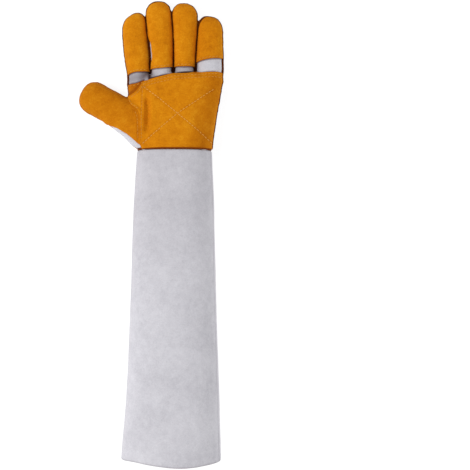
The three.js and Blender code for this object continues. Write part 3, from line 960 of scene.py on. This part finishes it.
def patch_regions():
    """Where each golden patch lies on the hand."""
    over = LAP["over"]
    thumb_side = shifted(rounded(PALM_SIDE, 2), over, over)
    base_side = shifted(LAPPED_EDGE[1:], over, -over)
    outlines = {
        "thumb_patch": np.concatenate([thumb_side, THUMB_FREE_SIDE, THUMB_LOWER_EDGE]),
        "index_base_patch": np.concatenate([INDEX_BASE_SIDE, base_side, INDEX_BASE_TOP]),
        "palm_patch": np.concatenate([LAPPED_SIDE, rounded(PALM_TOP, 2), [(130, 90)]]),
        **{name + "_patch": finger_outline(name, PATCH_ROOT[name]) for name in FINGERS},
    }
    return {
        name: everywhere(off_welt(BARE.get(name, ())), off_wrist(WRIST_LAP), inside(outline))
        for name, outline in outlines.items()
    }


def build_shell(hand):
    """The grey leather: the back, the palm side, and the fronts of the middle and ring fingers."""
    middle, ring = (inside(finger_outline(name, FRONT_ROOT[name])) for name in ("middle", "ring"))
    sewn = GAP / 2

    def front(points):
        return points[:, 2] - (HAND_SEAM + sewn)

    regions = {
        "hand_back": [lambda points: HAND_SEAM - sewn - points[:, 2]],
        "palm_front": [front, lambda points: -middle(points) - sewn, lambda points: -ring(points) - sewn],
        "middle_front": [front, lambda points: middle(points) - sewn],
        "ring_front": [front, lambda points: ring(points) - sewn],
    }
    for node, parts in regions.items():
        region = everywhere(off_wrist(WRIST_WELT_RADIUS), *parts)
        sheet_piece(node + "_leather", hand, SHELL, region, GREY, node, shell_shade)


def build_patches(hand):
    for node, region in patch_regions().items():
        # Each patch's own tone, and painted shade on the index base
        tone = PATCH_TONES_AND_SHADE.get(node, 1)
        rise = lap_rise if node == "palm_patch" else wrist_rise
        sheet_piece(node + "_suede", hand, SUEDE, region, GOLD, node,
                    lambda points, depths: tone * patch_shade(points, depths), rise)


# Stitches

STITCH = {"pitch": 4.4, "length": 3.3, "radius": 0.34, "sunk": 0.5, "proud": 0.22, "bend": 4, "sides": 6}
STITCH_STEPS = np.array([-0.5, -0.4, -0.2, 0, 0.2, 0.4, 0.5])
STITCH_TAPER = np.array([0.6, 0.9, 1, 1, 1, 0.9, 0.6])


def draped(path, level):
    """Points of a path seen from above, brought down onto a level of the hand's field, and their normals."""
    pace, passes = 0.85, 40
    points = np.column_stack([path, np.full(len(path), HAND_TOP + 2.0)])
    for _ in range(passes):
        points[:, 2] = np.maximum(points[:, 2] - pace * (hand_distance(points) - level), 0)
    return points, unit(gradient(hand_distance, points))


def stitched(path, level_at, fits):
    """A row of separate stitches along a path on a level of the hand, as meshes, where they fit."""
    total = lengths_along(path)[-1]
    number = max(int(total / STITCH["pitch"]), 1)
    centres = (np.arange(number) + 0.5) * total / number
    plan = read_path(path, (centres[:, None] + STITCH_STEPS * STITCH["length"]).ravel())
    on, normals = draped(plan, level_at(plan))
    kept = fits(on).reshape(number, -1).all(axis=1)
    depth = (STITCH["sunk"] + STITCH["proud"]) * np.abs(2 * STITCH_STEPS) ** STITCH["bend"]
    height = STITCH["proud"] - depth
    on = (on + normals * np.tile(height, number)[:, None]).reshape(number, -1, 3)[kept]
    radii = STITCH["radius"] * STITCH_TAPER
    parts = []
    for strand, up in zip(on, normals.reshape(number, -1, 3)[kept]):
        across = unit(np.cross(unit(np.gradient(strand, axis=0)), up))
        parts.append(cord(strand, across, radii, radii, STITCH["sides"]))
    return parts


def build_stitching():
    """The rows on the golden patches, each trimmed to its patch."""
    level = SUEDE["levels"][0]
    margin = 1.2
    regions = patch_regions()
    for name, rows in ROWS.items():
        on_palm = name.startswith("palm")
        region = regions["palm_patch" if on_palm else name + "_patch"]
        rise = lap_rise if on_palm else lambda plan: 0
        parts = []
        for row in rows:
            parts += stitched(row, lambda plan: level + rise(plan), lambda points: region(points) > margin)
        add_piece(name + "_stitching", *joined(parts), CREAM if name == "palm_cross" else AMBER)


# Welts

PROUD = 0.2  # how much farther a welt reaches round the outside of the hand
FLANGE = 0.4  # how far its flange reaches into the seam
FILLED = 2.3  # how much farther it does at the crotches
SUNK = 2.8  # how far the thumb's welt sinks into the seam where the back's leather wraps round
THINNED = 0.3  # how much thinner it is there, as a share
# How light each welt is painted on the thumb, along the fingers' outline, where two fingers hold it between
# them, and at the wrist; the lighter paint where fingers hold it is painted light against the shade between
# them
WELT_SHADE = {"thumb": 0.95, "outer": 0.3, "held": 0.5, "wrist": 0.5}
WELT_STEP = 0.6
WELT_SIDES = 10
SECTION_POINTS = 301
OVERLAP = 5  # how many points of the seam's line a welt runs past its own part, into its neighbours'
WRIST_WELT = {"step": 1.2, "sides": 12, "across": 0.85, "tall": 0.9, "lifted": 0.1}


def seam_line():
    """The line that the welts follow round the hand, from the wrist's thumb side to its other side."""

    def offset(plan):
        points = np.column_stack([plan, np.full(len(plan), HAND_SEAM)])
        return hand_distance(points) - WELT_OFFSET + SUNK * tucked(points)

    step, stride, flattest, clear, lead = 0.8, 0.35, 0.3, 0.2, 1.5
    wrist_row = 3
    field = PlanMap(offset, (HAND_LOW[0], WRIST_Y - 2), HAND_HIGH, step)
    lowest = WRIST_Y + WRIST_MARGIN + clear
    first = int(np.argmax(field.values[:, wrist_row] < 0))
    place = np.array([field.low[0] + first * step, lowest + lead])
    path = []
    while place[1] > lowest:
        for _ in range(2):
            slope = (field(place + step * np.eye(2)) - field(place - step * np.eye(2))) / (2 * step)
            place = place - slope * field(place[None])[0] / max(slope @ slope, flattest)
        path.append(place)
        place = place + stride * unit(np.array([slope[1], -slope[0]]))
    return np.array(path)


def spare_room(points):
    """How much farther a welt can reach until it touches the next finger's welt, where they lie close."""
    distances = np.sort([tube_distance(TUBES[name], points) for name in FINGERS], axis=0)
    room = (distances[0] + distances[1]) / 2 - relief(points) - EDGE
    touching, most = 0.12, 0.8
    return np.clip(room + touching, 0, most) * (1 - eased(room, start=0.6))


def puckered(path):
    """Swells a cord a little between the stitches that hold it."""
    swell = 0.04
    return 1 + swell * np.sin(lengths_along(path) / STITCH["pitch"] * 2 * np.pi)


def welt_reach(name, points, crotches):
    """How far a welt reaches out and in past its radius, and its painted shade, darkest at the crotches."""
    held = bell(nearest_of(CONTACTS, points), width=6)
    crotch = np.minimum.reduce([np.linalg.norm(points[:, :2] - place, axis=1) for place in crotches])
    outward = spare_room(points) / 2 + PROUD * (1 - held)
    inward = (FLANGE + bell(crotch, width=3.5, height=FILLED)) / 2
    outer = WELT_SHADE["thumb" if name == "thumb" else "outer"]
    shade = (outer + (WELT_SHADE["held"] - outer) * held) * (1 - bell(crotch, width=9, height=0.85))
    return outward, inward, shade


def build_welts():
    line = seam_line()
    cuts = [int(np.argmin(np.linalg.norm(line - crotch, axis=1))) for crotch in CROTCHES.values()]
    ends = [0] + cuts + [len(line) - 1]
    for name, start, end in zip(("thumb",) + FINGERS, ends[:-1], ends[1:]):
        path = along(line[max(start - OVERLAP, 0):end + OVERLAP], WELT_STEP)
        points = np.column_stack([path, np.full(len(path), HAND_SEAM)])
        across = np.cross((0, 0, 1), unit(np.gradient(points, axis=0)))
        radii = WELT_RADIUS * (1 - THINNED * tucked(points)) * puckered(points)
        outward, inward, shade = welt_reach(name, points, line[cuts[1:]])
        middle = points + across * (outward - inward)[:, None]
        strip = cord(middle, across, radii + outward + inward, radii, WELT_SIDES)
        shade = np.concatenate([np.repeat(shade, WELT_SIDES), shade[[0, -1]]])
        add_piece(name + "_welt_strip", *strip, BROWN, name + "_welt", shade)


def build_wrist_welt():
    turn = np.linspace(0, 2 * np.pi, SECTION_POINTS)
    lowest = WRIST_WELT_RADIUS + WRIST_WELT["lifted"]
    ring = along(section_round(TUBES["palm"], 0, turn, EDGE, lowest), WRIST_WELT["step"])[:-1]
    across = np.tile([0.0, 1.0, 0.0], (len(ring), 1))
    radii = WRIST_WELT_RADIUS * puckered(ring)
    wide, tall, sides = WRIST_WELT["across"] * radii, WRIST_WELT["tall"] * radii, WRIST_WELT["sides"]
    strip = cord(ring, across, wide, tall, sides, loop=True)
    shade = np.full(sides * len(ring), WELT_SHADE["wrist"])
    add_piece("wrist_welt_strip", *strip, BROWN, "wrist_welt", shade)


def section_round(tube, s, turn, edge, lowest):
    """Points of a tube's section at s, at the given turns from its right side over its top."""
    half, middle, top, seam = (value[0] for value in read_rows(tube, np.array([s])))
    sine, cosine = np.sin(turn), np.cos(turn)
    power = np.where(sine > 0, 2 / DOME, 2 / BELLY)
    rise = np.where(sine > 0, top - seam, seam + FLATTENED)
    x = middle + (half - edge) * np.sign(cosine) * np.abs(cosine) ** power
    z = np.maximum(seam + rise * np.sign(sine) * np.abs(sine) ** power, lowest)
    return np.column_stack([x, np.full(len(turn), tube["base"][1] + s), z])


# Sleeve

SLEEVE_SEAM = {"right": 15.0, "left": 178.0}  # degrees round the section where the two panels meet
SLEEVE_STEP = 1.8
EDGE_STEPS = np.array([0.0, 0.4, 1.0, 2.0, 3.4])
HEM_STATIONS = np.array([0, 0.3, 0.9, 1.8, 3, 5, 7, 8.6, 9.4, 10.2, HEM_DEPTH - 0.2, HEM_DEPTH + 0.2])
HEM_ROW = 9.4  # the row that holds the turned-in edge, from the cuff's edge
SIDE_ROW = 5.0  # the row beside each seam, from the panel's side
SEWN_GAP = 0.1  # between the two panels
NEAR_HAND_DARKER = 0.07  # how much darker the sleeve is near the hand
# The cuff's edge is cut by hand: at each x, how far it stands back from a straight cut
CUFF_EDGE = rounded([(-40, 2.0), (-21, 4.3), (2, 0.9), (43, -3.8), (85, 0.0), (95, -1.0)], 2)


def sleeve_relief(points):
    long_folds = noise(points * (1, 0.3, 1), 34, 11, height=0.7)
    return long_folds + noise(points * (1, 0.6, 1), 15, 12, height=0.3) + noise(points, 5, 13, height=0.08)


def sleeve_grid(front, end):
    """Rows of points across a panel, how deep each point lies inside its sides, and the rows' places."""
    past_hem, fine = 1.4, 400
    body = np.arange(HEM_STATIONS[-1] + past_hem, end - EDGE_STEPS[-1] - SLEEVE_STEP / 2, SLEEVE_STEP)
    stations = np.concatenate([HEM_STATIONS, body, end - EDGE_STEPS[::-1]])
    first, last = (np.radians(SLEEVE_SEAM[side]) for side in ("right", "left"))
    turn = np.linspace(first, last, fine) if front else np.linspace(last, first + 2 * np.pi, fine)
    rows, depths, inner = [], [], None
    for s in stations:
        part = section_round(TUBES["sleeve"], s, turn, 0, 0)
        usable = lengths_along(part)[-1] - SEWN_GAP
        inner = inner or int(usable / SLEEVE_STEP)
        middle = np.linspace(EDGE_STEPS[-1], usable - EDGE_STEPS[-1], inner)
        places = np.concatenate([EDGE_STEPS[:-1], middle, usable - EDGE_STEPS[-2::-1]])
        part[:, 1] += np.interp(part[:, 0], *CUFF_EDGE.T) * (1 - eased(s, reach=90))
        rows.append(read_path(part, places + SEWN_GAP / 2))
        depths.append(np.minimum(places, usable - places))
    return np.array(rows), np.array(depths), stations


def sleeve_sheets(grid, side, s, end):
    """A panel's outer and inner points, with folds, rounded edges, rows of stitching and a thick hem."""
    flat = grid.reshape(-1, 3)
    normals = unit(np.cross(np.gradient(grid, axis=0), np.gradient(grid, axis=1))).reshape(-1, 3)
    lifted = rising(flat[:, 2], start=1, reach=5)
    fall = rounding(side, 2.4, fall=0.6) + rounding(end - s, 3.4, fall=1.3) + rounding(s, 1.8, fall=1.2)
    sewn = bell(s - HEM_ROW, width=1.2, height=0.12) + bell(side - SIDE_ROW, width=1.1, height=0.15)
    stiff_hem, resting, inner_share = 0.35, 0.3, 0.3
    proud = sleeve_relief(flat) * lifted * np.clip(s / 20, stiff_hem, 1)
    outer = flat + normals * (proud - fall * np.minimum(lifted + resting, 1) - sewn * lifted)[:, None]
    outer[:, 2] = np.maximum(outer[:, 2], 0)
    thickness = np.where(s < HEM_DEPTH, HEM, WALL)
    return outer, flat + normals * (proud - thickness - inner_share * fall)[:, None]


def sleeve_shade(x, side, s):
    """How light a panel is: darker at its edges and, most of all at the left, near the hand."""
    near_hand = NEAR_HAND_DARKER * eased(s, start=200, reach=160) * (1 - eased(x, reach=60) / 2)
    edges = bell(side, width=0.6, height=0.08) + bell(s, width=1.6, height=0.2)
    return np.concatenate([1 - edges - near_hand, np.full(len(x), INNER_SHADE)])


def sleeve_panel(node):
    end = WRIST_Y - CUFF_Y - WRIST_MARGIN
    grid, depths, stations = sleeve_grid(node == "sleeve_front", end)
    rows, columns = depths.shape
    flat, side, s = grid.reshape(-1, 3), depths.ravel(), np.repeat(stations, columns)
    outer, inner = sleeve_sheets(grid, side, s, end)
    number = np.arange(rows * columns).reshape(rows, columns)
    quads = np.stack([number[:-1, :-1], number[1:, :-1], number[1:, 1:], number[:-1, 1:]], axis=-1)
    sheet = closed_sheet(outer, inner, halved(quads.reshape(-1, 4), flat))
    add_piece(node + "_leather", *sheet, GREY, node, sleeve_shade(flat[:, 0], side, s))


# Stage: camera, lights and floor

FOCUS = (0.03, 0, 0)


def add_light(name, place, power):
    data = bpy.data.lights.new(name, "AREA")
    data.energy = power
    data.size = 1.0
    light = add_object(name, data)
    light.location = place
    aim = Vector(FOCUS) - Vector(place)
    light.rotation_euler = aim.to_track_quat("-Z", "Y").to_euler()


def add_floor():
    size, drop = 4.0, 0.0001
    corners = [(-size, -size, -drop), (size, -size, -drop), (size, size, -drop), (-size, size, -drop)]
    mesh = bpy.data.meshes.new("floor")
    mesh.from_pydata(corners, [], [(0, 1, 2, 3)])
    floor = add_object("floor", mesh)
    paper = Shader("paper")
    white = (1, 1, 1, 1)
    mesh.materials.append(paper.finish((0.3, 0.3, 0.3, 1), 0.9, Emission_Color=white, Emission_Strength=0.8))


def build_stage():
    scene = bpy.context.scene
    camera = add_object("camera", bpy.data.cameras.new("camera"))
    camera.data.lens = 71
    camera.data.sensor_width = 36
    camera.location = (0.1105, -0.008, 1.233)
    scene.camera = camera
    add_floor()
    add_light("key", (-1.35, -0.2, 1.4), power=22)
    add_light("fill", (1.7, -0.1, 0.75), power=6)
    world = bpy.data.worlds.new("studio")
    world.use_nodes = True
    sky = world.node_tree.nodes["Background"].inputs
    sky["Color"].default_value = (1, 1, 1, 1)
    sky["Strength"].default_value = 0.62
    scene.world = world
    scene.view_settings.view_transform = "Standard"


build_stage()
net_points, net_triangles = surface_nets((*HAND_LOW, HAND_BOTTOM), (*HAND_HIGH, HAND_TOP), CELL)
hand = (relaxed(net_points, net_triangles, passes=2), net_triangles)
build_shell(hand)
build_patches(hand)
build_welts()
build_wrist_welt()
sleeve_panel("sleeve_front")
sleeve_panel("sleeve_back")
build_stitching()
